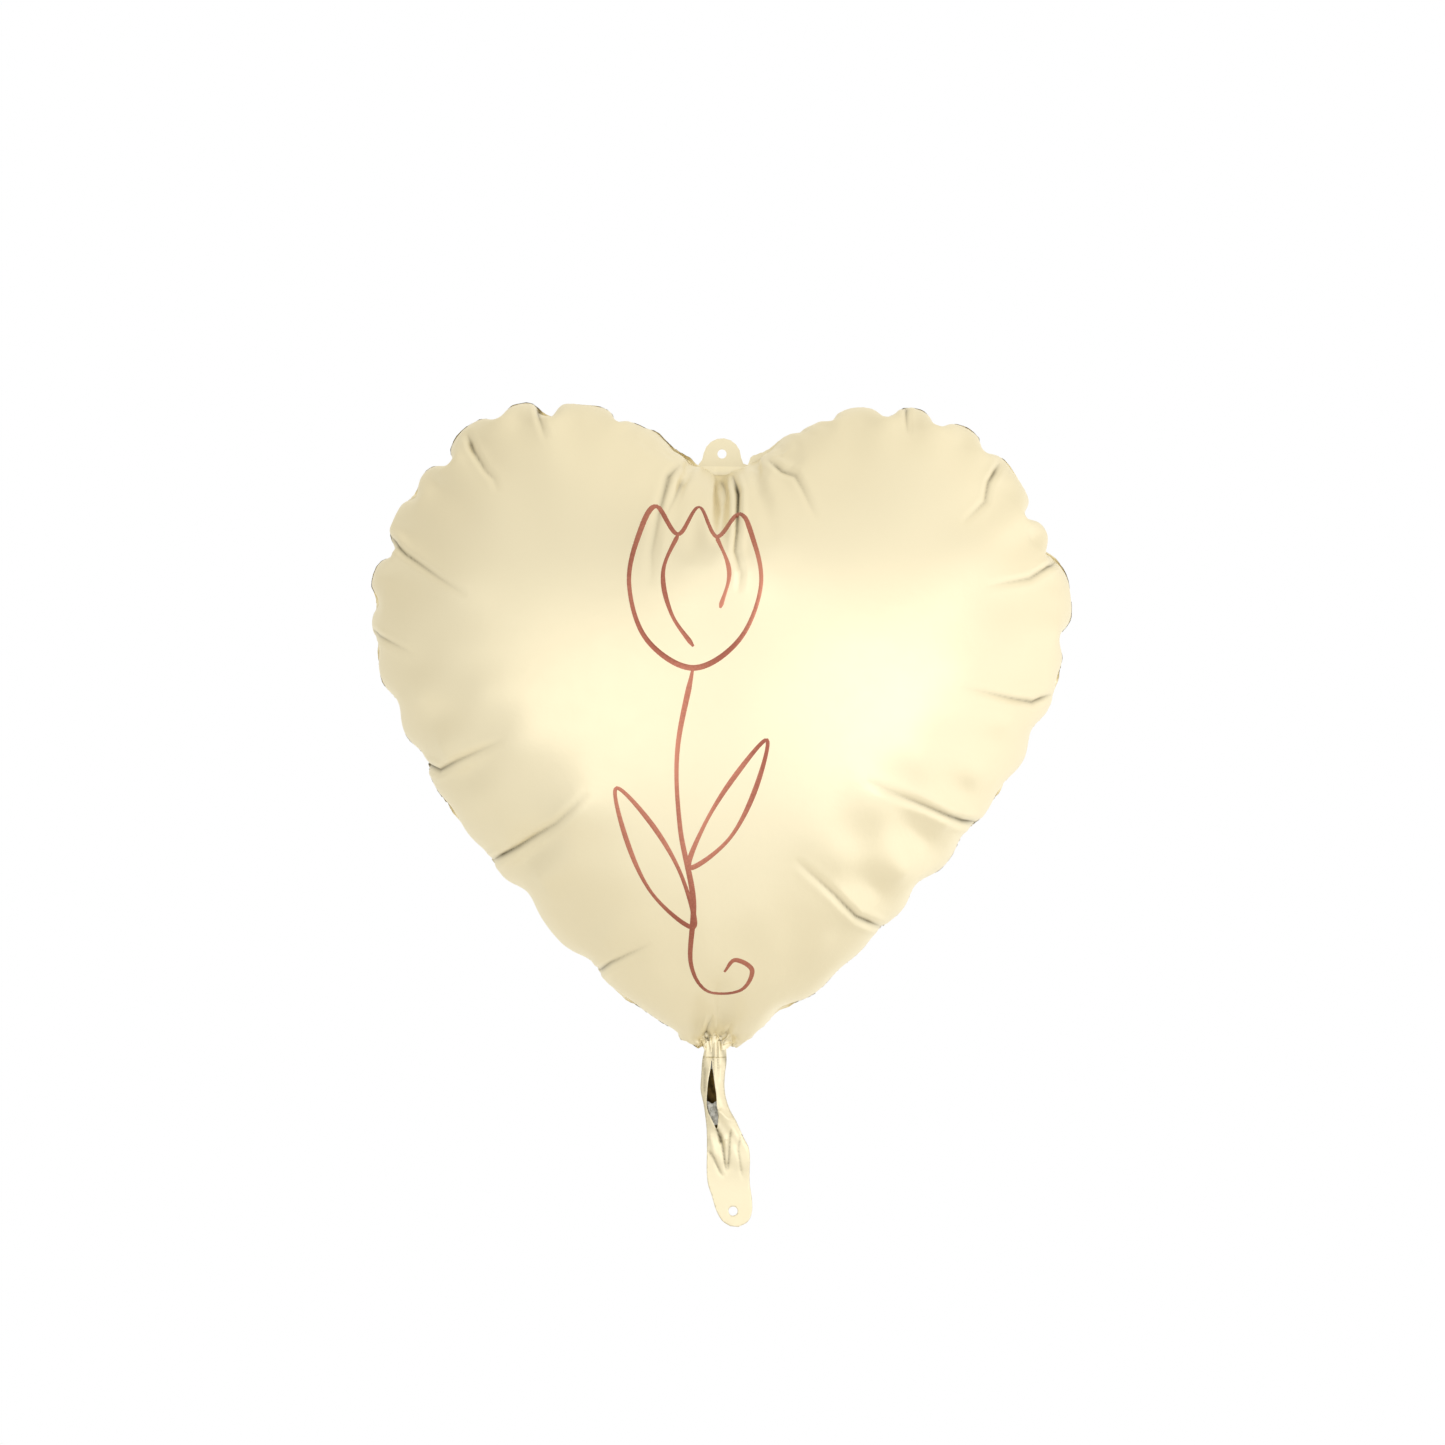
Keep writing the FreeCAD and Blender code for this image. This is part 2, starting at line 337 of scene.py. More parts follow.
# %% First dents
left_folds = ((0.100, 0.4), (0.131, 0.7), (0.160, 0.9), (0.206, 1.3), (0.236, 0.5), (0.265, 1.2),
              (0.296, 0.8), (0.325, 1.0), (0.364, 1.3), (0.399, 0.8), (0.440, 0.7), (0.469, 1.2),
              (0.510, 0.5), (0.552, 0.6), (0.612, 1.4), (0.675, 1.0), (0.712, 1.3), (0.804, 0.5),
              (0.866, 1.1))
right_folds = ((0.098, 0.7), (0.128, 0.5), (0.158, 0.9), (0.186, 1.0), (0.225, 0.6), (0.261, 1.1),
               (0.296, 1.2), (0.325, 0.8), (0.346, 0.9), (0.399, 1.3), (0.445, 0.7), (0.500, 0.9),
               (0.540, 1.3), (0.575, 0.7), (0.618, 1.4), (0.690, 1.3), (0.745, 0.6), (0.800, 1.2),
               (0.893, 0.5))
DENT_LONG, DENT_DEEP = 5.0, 22.0        # reach of a first dent along the seam and away from it
s_seam = np.r_[0, np.cumsum(np.linalg.norm(np.diff(seam, axis=0), axis=1))] / seam_length
from_ring, ring_point = nearest(flat, seam)
start = np.c_[flat[:, 0], np.zeros(len(flat)), flat[:, 1]]
start[:, 1] += (2.0 + 0.05 * np.minimum(from_ring, 40)) * np.array([0, -1, 1])[layer]
dent = np.zeros(len(flat))
for folds, side in ((right_folds, 1), (left_folds, -1)):
    for place, strength in folds:
        apart = s_seam[ring_point] - (place / 2 if side > 0 else 1 - place / 2)
        dent += strength * np.exp(-(apart * seam_length / DENT_LONG)**2 - (from_ring / DENT_DEEP)**2)
start[:, 0] -= outward[ring_point, 0] * dent
start[:, 2] -= outward[ring_point, 1] * dent
print("folds to come:", len(left_folds) + len(right_folds))

# %% [markdown]
# ## Inflate
# At the bottom the films run on into a narrow neck, which is gathered: the bag can't open there. A hold draws
# the points round the tip together, more with every step.

# %% Blow it up
tip = half_seam[-1]
NECK_RISE = 45.0                # how far the tip moves up from its flat place as the bag shortens
NARROWED = 0.38                 # how much of its flat width the gathered tip keeps
REACH_X, REACH_Z = 13, 9        # how far from the tip the gathering reaches
DRAW = 0.2                      # share of the way that each step draws a point


def near_tip(q):
    """exp(-(x / reach)^2 - (z / reach)^2) round the tip, and nothing higher up than one reach."""
    x, z = (q - tip).T
    return np.exp(-(x / REACH_X)**2 - (z / REACH_Z)**2) * (z < REACH_Z)


def gather_neck(sheet):
    """Near the tip, points move to a narrow width, to the neck's height, and towards the middle plane."""
    gather_neck.amount = min(1.0, gather_neck.amount + 0.01)
    w = near_tip(sheet.flat) * gather_neck.amount
    sheet.p[:, 0] += (NARROWED * sheet.flat[:, 0] - sheet.p[:, 0]) * w * DRAW
    sheet.p[:, 2] += (sheet.flat[:, 1] + NECK_RISE - sheet.p[:, 2]) * w * DRAW
    sheet.p[:, 1] *= 1 - DRAW * w


gather_neck.amount = 0.0
bag = Sheet(flat, faces, part, layer, start)
STEPS, PUSH = 12, 0.001
for k in range(STEPS):
    bag.blow(20, PUSH * min(1, (k + 1) / 3), bend=0.05, give=0.6, hold=gather_neck)
print("blown:", np.ptp(bag.p, axis=0).round(), "mm over", len(bag.p), "points")

# %% Halve the triangles and settle
bag.refine()
bag.blow(44, PUSH / 4, bend=0.1, give=0.5, hold=gather_neck)
now = np.linalg.norm(bag.p[bag.edges[:, 0]] - bag.p[bag.edges[:, 1]], axis=1)
cut_length = np.linalg.norm(bag.flat[bag.edges[:, 0]] - bag.flat[bag.edges[:, 1]], axis=1)
strain = float(abs(now / cut_length - 1).mean())
print("settled:", np.ptp(bag.p, axis=0).round(), "mean strain", round(strain, 4))


# %% [markdown]
# ## Let the middle go smooth
# Under pressure a real film creeps a little. The fine wrinkles far from the seam disappear, and those by the
# seam stay. Here every point moves to the middle of its neighbours and back again, which takes out what is
# small and leaves the large shape. The lower sides are then drawn taut, and the rim is rolled in: the weld is
# stiff and puckers as the film bulges past it, so that less than half of its width stands out.

# %% Smooth the middle
def smooth(p, edges, weight, rounds, back=-0.61):
    """Taubin smoothing: a step towards the mean of the neighbours, then a slightly larger step away. With
    back 0 nothing is undone, and waves shorter than a few centimetres go flat."""
    ends = edges.T.reshape(-1)
    other = edges[:, ::-1].T.reshape(-1)
    count = np.maximum(np.bincount(ends, minlength=len(p)), 1)[:, None]
    for k in range(2 * rounds):
        mean = np.stack([np.bincount(ends, p[other, x], len(p)) for x in range(3)], 1) / count
        p = p + (mean - p) * weight[:, None] * (0.6 if k % 2 == 0 else back)
    return p


def ramp(x, low, high):
    """0 below low, 1 above high, and a smooth S between them; low may be the larger."""
    t = np.clip((x - low) / (high - low), 0, 1)
    return t * t * (3 - 2 * t)


SMOOTH_ROUNDS, TAUT_ROUNDS = 60, 120
ROLLED = 0.6                    # share of the rim's width that puckers away behind the bulging film
cut_z = bag.flat[:, 1] - hole_z
inland, _ = nearest(bag.flat, seam)
lower_side = ramp(cut_z, -130, -230) * ramp(cut_z, -428, -415)
calm = ramp(inland, 14, 48) * 0.94 + 0.10 * (1 - ramp(inland, 14, 48))
calm *= 1 - 0.9 * ramp(cut_z, -95, -60) * (abs(bag.flat[:, 0]) < 55)
shape = smooth(bag.p, bag.edges, calm, SMOOTH_ROUNDS)
in_rim = (bag.layer == 0) & (inland > 0.3)
on_seam = np.nonzero((bag.layer == 0) & ~in_rim)[0]
bag_edges = bag.edges[~in_rim[bag.edges].any(1)]
drift = 0.5 + 0.5 * np.sin(bag.flat[:, 0] / 23 + 2) * np.sin(bag.flat[:, 1] / 31)
taut = (0.06 * ramp(abs(bag.flat[:, 0]), 60, 90) + lower_side * (0.45 + 0.40 * drift)) * ramp(inland, 60, 30)
tauter = smooth(shape, bag_edges, taut * ~in_rim, TAUT_ROUNDS, back=0.0)
_, its_seam = nearest(bag.flat[in_rim], bag.flat[on_seam])
tauter[in_rim] = shape[in_rim] + (tauter - shape)[on_seam[its_seam]]
rolled = ROLLED * np.maximum(ramp(abs(bag.flat[in_rim, 0]), 16, 30), ramp(cut_z[in_rim], -100, -200))
tauter[in_rim] += (tauter[on_seam[its_seam]] - tauter[in_rim]) * rolled[:, None]
print("sides drawn in by up to", round(float(np.linalg.norm(tauter - shape, axis=1).max()), 1), "mm")
shape = tauter
shape[:, 2] += -HOLE_ABOVE - shape[0, 2]
print("balloon, mm:", shape.min(0).round(1), shape.max(0).round(1))

# %% [markdown]
# ## Creases
# Some folds are sharper than the mesh springs can make them: a foil keeps the kink from its packing.
# Each is a line on the front film, from the seam inwards. The film is pushed in along it, with a soft
# shoulder on both sides, and the depth fades towards the inner end. First, the triangles there are split.

# %% Press the creases in
def normals(p, faces):
    """Mean outward direction at each point, weighted by the area of its triangles."""
    a, b, c = p[faces[:, 0]], p[faces[:, 1]], p[faces[:, 2]]
    n = at_corners(np.cross(b - a, c - a), faces, len(p))
    return n / np.maximum(np.linalg.norm(n, axis=1), 1e-12)[:, None]


def crease(x, z, line, width):
    """A V-shaped valley along a line: minus exp(-distance / width), with shoulders of a third of its depth,
    full near the start of the line and fading to nothing at its end."""
    path = even_line(np.array(line, float), 0.3)
    far, which = nearest(np.c_[x, z], path)
    s = which / (len(path) - 1)
    beyond = np.exp(-np.maximum(far - 4 * width, 0) / width)
    v = -np.exp(-far / width) + 0.33 * np.exp(-((far - 2.6 * width) / (1.3 * width))**2)
    return v * beyond * np.minimum(1, 0.35 + 5 * s) * (1 - s)**0.7


def split_near(sheet, chosen):
    """Splits the chosen triangles in four, and their neighbours, which get one or two new points, in two or
    three, so that no gap opens."""
    n, e = len(sheet.p), sheet.edges
    key = e[:, 0] * n + e[:, 1]

    def edge_of(i, j):
        return np.searchsorted(key, np.minimum(i, j) * n + np.maximum(i, j))

    f = sheet.faces
    marked = np.zeros(len(e), bool)
    marked[np.concatenate([edge_of(f[chosen, j], f[chosen, (j + 1) % 3]) for j in range(3)])] = True
    number = n + np.cumsum(marked) - 1
    hits = np.stack([marked[edge_of(f[:, j], f[:, (j + 1) % 3])] for j in range(3)], 1)
    turn_by = np.where(hits.sum(1) == 2, (hits.argmin(1) + 1) % 3, 0)
    turn_by = np.where(hits.sum(1) == 1, hits.argmax(1), turn_by)
    a, b, c = (f[np.arange(len(f)), (turn_by + j) % 3] for j in range(3))
    ab, bc, ca = (number[edge_of(i, j)] for i, j in ((a, b), (b, c), (c, a)))
    parts = {0: ((a, b, c),), 1: ((a, ab, c), (ab, b, c)), 2: ((ab, b, bc), (a, ab, bc), (a, bc, c)),
             3: ((a, ab, ca), (ab, b, bc), (ca, bc, c), (ab, bc, ca))}
    new_faces, new_part = [], []
    for count, triangles in parts.items():
        rows = hits.sum(1) == count
        new_faces += [np.stack(t, 1)[rows] for t in triangles]
        new_part += [sheet.part[rows]] * len(triangles)
    sheet.faces, sheet.part = np.vstack(new_faces), np.concatenate(new_part)
    sheet.layer = np.r_[sheet.layer, sheet.layer[e[marked]].max(1)]
    sheet.flat = np.vstack([sheet.flat, sheet.flat[e[marked]].mean(1)])
    sheet.p = np.vstack([sheet.p, sheet.p[e[marked]].mean(1)])
    pairs = np.sort(np.vstack([sheet.faces[:, [j, (j + 1) % 3]] for j in range(3)]), axis=1)
    sheet.edges = np.unique(pairs, axis=0)


# each crease: depth, width, and its line (x, z) from the seam inwards
front_creases = (
    (3.2, 1.3, ((5.7, -14.1), (8.5, -24.5), (8.8, -46.4), (7.9, -57.3), (10.8, -68.2), (9.6, -79.8))),
    (1.2, 1.5, ((-0.4, -14.2), (1.4, -20.8), (3.1, -31.0))),
    (1.6, 2.0, ((-22.3, -9.4), (-27.7, -16.0), (-31.8, -34.9), (-35.9, -58.5), (-35.7, -76.3))),
    (1.1, 1.5, ((-20.2, -17.3), (-24.2, -28.3), (-29.3, -40.3))),
    (1.8, 1.4, ((-100.5, 26.0), (-98.1, 15.1), (-93.6, 2.2))),
    (2.0, 1.4, ((-137.9, 6.7), (-133.4, -2.3), (-125.6, -14.3), (-121.2, -18.6), (-117.9, -26.9))),
    (2.2, 1.5, ((-181.8, -46.9), (-169.3, -58.6), (-149.5, -72.0), (-133.4, -82.0))),
    (1.4, 1.3, ((-190.4, -98.4), (-184.1, -102.6), (-162.0, -113.2))),
    (2.2, 1.5, ((-163.3, -170.2), (-149.7, -174.9), (-134.0, -167.6), (-112.0, -157.1))),
    (2.4, 1.6, ((-123.6, -224.5), (-104.9, -214.8), (-84.8, -201.4), (-66.9, -184.6))),
    (1.8, 1.5, ((-66.0, -285.1), (-56.4, -277.0), (-32.9, -263.8))),
    (1.5, 1.4, ((25.2, -5.7), (31.9, -12.2), (39.0, -15.3), (43.0, -22.9), (50.6, -40.5))),
    (1.6, 1.3, ((99.8, 27.3), (99.4, 8.5))),
    (2.0, 1.4, ((150.4, -4.7), (143.5, -16.1), (141.0, -27.1), (127.2, -40.5))),
    (1.8, 1.4, ((183.2, -56.2), (174.8, -62.2), (165.6, -67.8), (140.4, -73.3))),
    (1.9, 1.4, ((180.4, -129.5), (168.7, -133.9), (153.9, -131.4), (128.1, -126.4))),
    (2.4, 1.7, ((144.3, -200.5), (132.3, -198.4), (116.9, -192.6), (76.8, -176.4))),
    (2.2, 1.6, ((90.1, -256.8), (75.0, -249.5), (63.4, -237.7), (40.6, -217.5))),
    (2.2, 1.2, ((-4.4, -325.0), (-4.6, -319.0), (-3.4, -313.0), (-0.8, -304.5))),
    (1.4, 1.0, ((-1.4, -326.0), (-2.5, -321.2), (-4.3, -316.4))),
    (1.2, 1.0, ((4.6, -326.0), (6.2, -318.0), (9.0, -309.0))),
)
bag.p = shape
all_lines = np.vstack([even_line(np.array(line, float), 1.0) for _, _, line in front_creases])
for reach in (9.0, 4.5):
    centre = bag.p[bag.faces].mean(1)
    split_near(bag, (bag.part == 0) & (nearest(centre[:, [0, 2]], all_lines)[0] < reach))
inland, _ = nearest(bag.flat, seam)
cut_z = bag.flat[:, 1] - hole_z
local = (np.arange(len(bag.p)) >= len(shape)) * 0.5
shape = smooth(bag.p, bag.edges, local, 4)
print("near the creases:", len(bag.p), "points", len(bag.faces), "triangles")

out = normals(shape, bag.faces[bag.part < 2])
front = (bag.layer == 1) & (inland > 1)
# painted shade: each crease's valley is darkened in the foil's colour, the more the deeper the crease
depth, painted_shade = np.zeros(len(shape)), np.zeros(len(shape))
for deep, width, line in front_creases:
    v = crease(shape[front, 0], shape[front, 2], line, width)
    depth[front] += deep * v
    painted_shade[front] = np.maximum(painted_shade[front], deep / 1.9 * np.maximum(-v, 0)**1.8)
shape += out * (depth * ramp(inland, 0, 5))[:, None]
packing_fold = np.exp(-abs(shape[:, 0] - 1.5) / 2.2) * ramp(shape[:, 2], -215, -270) * ramp(inland, 8, 30)
shape[front] -= out[front] * (0.9 * packing_fold[front])[:, None]
painted_shade = np.clip(painted_shade, 0, 1)
print("creases:", len(front_creases), "deepest", round(float(-depth.min()), 1), "mm")

# %% [markdown]
# ## The tab hangs flat
# The tab isn't blown up, and the hook pulls it straight, so its points go back to their flat places around
# the hole, with a soft change over the weld.

# %% Straighten the tab
w = ramp(cut_z, -HOLE_ABOVE, -7.6) * ramp(abs(bag.flat[:, 0]), 20, 12.5)
straight = np.c_[bag.flat[:, 0], np.zeros(len(shape)), cut_z]
shape += (straight - shape) * w[:, None]
on_hole = np.linalg.norm(straight, axis=1) < 4
print("hole centre, mm:", shape[on_hole].mean(0).round(2))

# %% [markdown]
# ## Colours and nodes
# Colours are written as the hex values a printer would give and turned into the linear light that a renderer
# adds up. One helper adds any node with its settings and links.

# %% Helpers for materials
def light(hex_colour):
    """sRGB hex to linear RGBA: c/12.92 below 0.04045, else ((c + 0.055) / 1.055) to the power 2.4."""
    c = np.array([int(hex_colour[i:i + 2], 16) for i in (1, 3, 5)]) / 255
    return (*np.where(c <= 0.04045, c / 12.92, ((c + 0.055) / 1.055)**2.4).tolist(), 1.0)


def node(tree, kind, settings=(), links=(), **values):
    """Adds a shader node; settings are its properties, values its sockets by name, links (socket, output)."""
    n = tree.nodes.new("ShaderNode" + kind)
    for key, value in dict(settings).items():
        setattr(n, key, value)
    for key, value in values.items():
        n.inputs[key.replace("_", " ")].default_value = value
    for socket, output in links:
        tree.links.new(output, n.inputs[socket])
    return n


def material(name):
    """An empty node material and its tree."""
    m = bpy.data.materials.new(name)
    m.use_nodes = True
    m.node_tree.nodes.clear()
    return m, m.node_tree


def ramp_colours(tree, factor, *stops):
    """A colour ramp over (position, hex) stops."""
    n = node(tree, "ValToRGB", links=[("Fac", factor)])
    bar = n.color_ramp
    bar.elements[0].position, bar.elements[0].color = stops[0][0], light(stops[0][1])
    bar.elements[1].position, bar.elements[1].color = stops[-1][0], light(stops[-1][1])
    for at, colour in stops[1:-1]:
        bar.elements.new(at).color = light(colour)
    return n.outputs["Color"]


def noise(tree, place, size, detail, **values):
    """Noise from 0 to 1 whose largest lumps are about size metres across."""
    values.update(Scale=1 / size, Detail=detail)
    return node(tree, "TexNoise", links=[("Vector", place)], **values).outputs["Fac"]


def bump(tree, height, strength, distance, *links):
    """The normal of a relief, whose height is given in metres."""
    n = node(tree, "Bump", links=[("Height", height), *links], Strength=strength, Distance=distance)
    return n.outputs["Normal"]


def surface(tree, links, **values):
    """Ends the tree in one Principled shader."""
    skin = node(tree, "BsdfPrincipled", links=links, **values)
    node(tree, "OutputMaterial", links=[("Surface", skin.outputs["BSDF"])])


def object_place(tree):
    return node(tree, "TexCoord").outputs["Object"]


# %% [markdown]
# ## Satin foil
# The film is polyester, 25 to 35 thousandths of a millimetre thick, with aluminium on it and a satin cream
# lacquer over that. The metal makes it bright where it faces the light and dark where it turns away. The
# lacquer blurs the reflection and gives the colour. Two faint things break it up: a crinkle of a few
# millimetres, and drawing lines along the web of the film. The pattern follows the flat cut, which is kept
# as the UV map, in metres.

# %% Satin foil material
def satin_foil(name, seed):
    m, tree = material(name)
    uv = node(tree, "UVMap", {"uv_map": "cut"}).outputs["UV"]
    at = node(tree, "Mapping", Location=(seed, seed, 0), links=[("Vector", uv)]).outputs["Vector"]
    tint = ramp_colours(tree, noise(tree, at, 0.110, 2.0), (0.30, "#EDE4C9"), (0.70, "#F2E9CE"))
    # painted shade: the painted_shade attribute mixes the foil's colour towards the dark brown #554B2C in
    # creases, pleats and folds, and evenly on the tab and tail
    painted_shade_amount = node(tree, "Attribute", {"attribute_name": "painted_shade"}).outputs["Fac"]
    shaded = node(tree, "Mix", {"data_type": "RGBA"}, links=[(0, painted_shade_amount), (6, tint)])
    shaded.inputs[7].default_value = light("#554B2C")
    haze = noise(tree, at, 0.009, 3.0)
    rough = node(tree, "MapRange", To_Min=0.40, To_Max=0.47, links=[("Value", haze)])
    crinkle = bump(tree, noise(tree, at, 0.0065, 3.0, Roughness=0.55), 0.16, 0.0006)
    web = node(tree, "Mapping", Scale=(1 / 0.0016, 1 / 0.060, 1), links=[("Vector", at)]).outputs["Vector"]
    drawn = bump(tree, noise(tree, web, 1.0, 1.0), 0.10, 0.00012, ("Normal", crinkle))
    rough = rough.outputs["Result"]
    surface(tree, [("Base Color", shaded.outputs[2]), ("Roughness", rough), ("Normal", drawn)],
            Metallic=0.80, Coat_Weight=0.20, Coat_Roughness=0.38, Coat_IOR=1.5)
    return m


foil = satin_foil("Satin cream metallised polyester", 0.0)
foil_back = satin_foil("Satin cream metallised polyester, back sheet", 2.0)

# %% [markdown]
# ## Inside, valve film and ink
# The inside of the film is bare aluminium. It is only seen through the filling slit, where it reflects
# nothing but itself; that dark reflection is painted into its colour as a warm dark brown. The valve is
# clear polyethylene, which goes milky grey where it is wrinkled. The print is a rose gold ink, laid on with
# a screen, so it is raised and grainy.

# %% Other materials
def painted_dark_inside():
    m, tree = material("Inside film with painted dark reflection")
    blotch = noise(tree, object_place(tree), 0.006, 3.0)
    # painted reflection: the bare aluminium is coloured dark brown for the dark inside that it reflects
    tint = ramp_colours(tree, blotch, (0.35, "#5A4620"), (0.70, "#8A7238"))
    surface(tree, [("Base Color", tint)], Metallic=0.8, Roughness=0.5)
    return m


def clear_polyethylene():
    m, tree = material("Clear polyethylene film")
    creased = noise(tree, object_place(tree), 0.0022, 4.0, Roughness=0.7)
    tint = ramp_colours(tree, creased, (0.35, "#9A988E"), (0.62, "#F0F0EC"))
    relief = bump(tree, creased, 0.6, 0.0004)
    surface(tree, [("Base Color", tint), ("Normal", relief)], Roughness=0.18, IOR=1.51, Alpha=0.72)
    return m


def rose_gold_ink():
    """Grain of a millimetre on patches of a few centimetres: 0.35 * grain + patch."""
    m, tree = material("Rose gold screen ink")
    grain = noise(tree, object_place(tree), 0.0011, 2.0)
    patch = noise(tree, object_place(tree), 0.045, 1.0)
    mixed = node(tree, "Math", {"operation": "MULTIPLY_ADD"}, links=[(0, grain), (2, patch)])
    mixed.inputs[1].default_value = 0.35
    tint = ramp_colours(tree, mixed.outputs["Value"], (0.50, "#9F5F50"), (0.85, "#C4836F"))
    relief = bump(tree, grain, 0.25, 0.0002)
    surface(tree, [("Base Color", tint), ("Normal", relief)], Metallic=0.75, Roughness=0.36)
    return m


inside_painted_dark, valve_film, ink = painted_dark_inside(), clear_polyethylene(), rose_gold_ink()
print("materials:", [m.name for m in (foil, foil_back, inside_painted_dark, valve_film, ink)])

# %% [markdown]
# ## Meshes
# Every piece becomes a mesh in the same way: points in millimetres are turned to metres, points that no face
# uses are left out, and the flat coordinates become a UV map, so that patterns follow the film and not space.

# %% Make a piece
def piece(name, points, faces, *materials, uv=None, painted_shade=None):
    """A smooth shaded mesh object at the origin, whose points are given in millimetres. painted_shade says,
    from 0 to 1, how much painted shade is mixed into the film's colour at each point, mostly where the film
    is folded."""
    used, small = np.unique(faces, return_inverse=True)
    small = small.reshape(faces.shape)
    mesh = bpy.data.meshes.new(name)
    mesh.from_pydata((points[used] * MM).tolist(), [], small.tolist())
    if uv is not None:
        layer = mesh.uv_layers.new(name="cut")
        layer.data.foreach_set("uv", (uv[used][small].reshape(-1, 2) * MM).astype(np.float32).ravel())
    if painted_shade is not None:
        mesh.attributes.new("painted_shade", "FLOAT", "POINT").data.foreach_set("value", painted_shade[used].astype(np.float32))
    for m in materials:
        mesh.materials.append(m)
    mesh.polygons.foreach_set("use_smooth", np.ones(len(faces), bool))
    mesh.validate()
    mesh.update()
    thing = bpy.data.objects.new(name, mesh)
    bpy.context.scene.collection.objects.link(thing)
    print(name, len(used), "points", len(faces), "faces")
    return thing


def grid_faces(rows, columns, closed=False):
    """Quads of a grid whose points run along its rows; closed joins the last column to the first."""
    r, c = np.mgrid[0:rows - 1, 0:columns if closed else columns - 1]
    a, b = r * columns + c, r * columns + (c + 1) % columns
    return np.stack([a, a + columns, b + columns, b], -1).reshape(-1, 4)


# %% [markdown]
# ## Front and back sheet
# The front sheet is the front film with the rim around it, and the back sheet the back film with its own rim
# close behind. Both stop at the tab's fold line, because the tab turns on it.

# %% Front and back
PLY = 0.12                      # how far apart the two plies of the rim are drawn
rim_faces = bag.faces[bag.part == 2]
rim_out = normals(shape, bag.faces[bag.part >= 2])
behind = shape - rim_out * (PLY * ramp(inland, 0, 1.5) * (bag.layer == 0))[:, None]
cut_uv = np.c_[bag.flat[:, 0], cut_z]
front_faces = np.vstack([bag.faces[bag.part == 0], rim_faces])
back_faces = np.vstack([bag.faces[bag.part == 1], rim_faces[:, ::-1]])
front_foil = piece("front_foil", shape, front_faces, foil, uv=cut_uv, painted_shade=painted_shade)
back_foil = piece("back_foil", behind, back_faces, foil_back, uv=cut_uv, painted_shade=painted_shade)
tab_faces = bag.faces[bag.part == 3]
both_plies = np.vstack([tab_faces, tab_faces[:, ::-1] + len(shape)])
# the tab gets an even painted shade of 0.10 on both plies
tab = piece("hanging_tab", np.vstack([shape, behind]), both_plies, foil, uv=np.vstack([cut_uv, cut_uv]),
            painted_shade=np.full(2 * len(shape), 0.10))

# %% [markdown]
# ## The print
# A balloon is printed flat, before it is cut, and the picture bends with the film. So the strokes are drawn
# on the cut. How the cut moves when it is blown is fitted with a polynomial, which gives each stroke's points
# their place as seen from the front, and the triangle that they fall in gives them their depth. The motif is
# a plain tulip with a curled end to its stem.

# %% Tulip strokes
# each stroke: width, whether it is closed, and its points on the flat cut
strokes = {
    "cup": (3.2, True, ((-14, -188), (-38, -174), (-48, -146), (-45, -118), (-38, -98), (-24, -115),
                        (-13, -92), (-2, -115), (12, -98), (19, -118), (22, -146), (10, -174))),
    "left_petal": (2.8, False, ((-24, -115), (-31, -138), (-26, -160), (-14, -177))),
    "right_petal": (2.8, False, ((-2, -115), (5, -137), (0, -157))),
    "stem": (3.3, False, ((-14, -188), (-21, -230), (-19, -270), (-12, -310), (-14, -350), (-4, -371),
                          (15, -370), (21, -355), (11, -347), (5, -355))),
    "right_leaf": (3.0, True, ((-14, -292), (6, -277), (19, -252), (25, -225), (7, -246), (-7, -270))),
    "left_leaf": (3.0, True, ((-12, -326), (-33, -309), (-46, -281), (-52, -251), (-33, -270), (-18, -297))),
}


def powers(q):
    """All products x^i z^j with i + j up to 5, of coordinates scaled to about 1."""
    x, z = q[:, 0] / 100, (q[:, 1] + 230) / 150
    return np.stack([x**i * z**j for i in range(6) for j in range(6 - i)], 1)


def find_place(q, faces, spread=14):
    """For points q as seen from the front: the face that each falls in, and its barycentric weights there."""
    seen = shape[:, [0, 2]]
    a, b, c = (seen[faces[:, j]] for j in range(3))
    centre = (a + b + c) / 3
    best, weights, chosen = np.full(len(q), -np.inf), np.zeros((len(q), 3)), np.zeros(len(q), int)
    for k in range(0, len(q), 400):
        part_q = q[k:k + 400]
        close = np.argpartition(((part_q[:, None] - centre[None])**2).sum(2), spread, axis=1)[:, :spread]
        pa, pb, pc = a[close], b[close], c[close]
        area2 = np.cross(pb - pa, pc - pa)
        u = np.cross(pb - part_q[:, None], pc - part_q[:, None]) / area2
        v = np.cross(pc - part_q[:, None], pa - part_q[:, None]) / area2
        w3 = np.stack([u, v, 1 - u - v], -1)
        pick = w3.min(2).argmax(1)
        row = np.arange(len(part_q))
        weights[k:k + 400], chosen[k:k + 400] = w3[row, pick], close[row, pick]
    return faces[chosen], weights


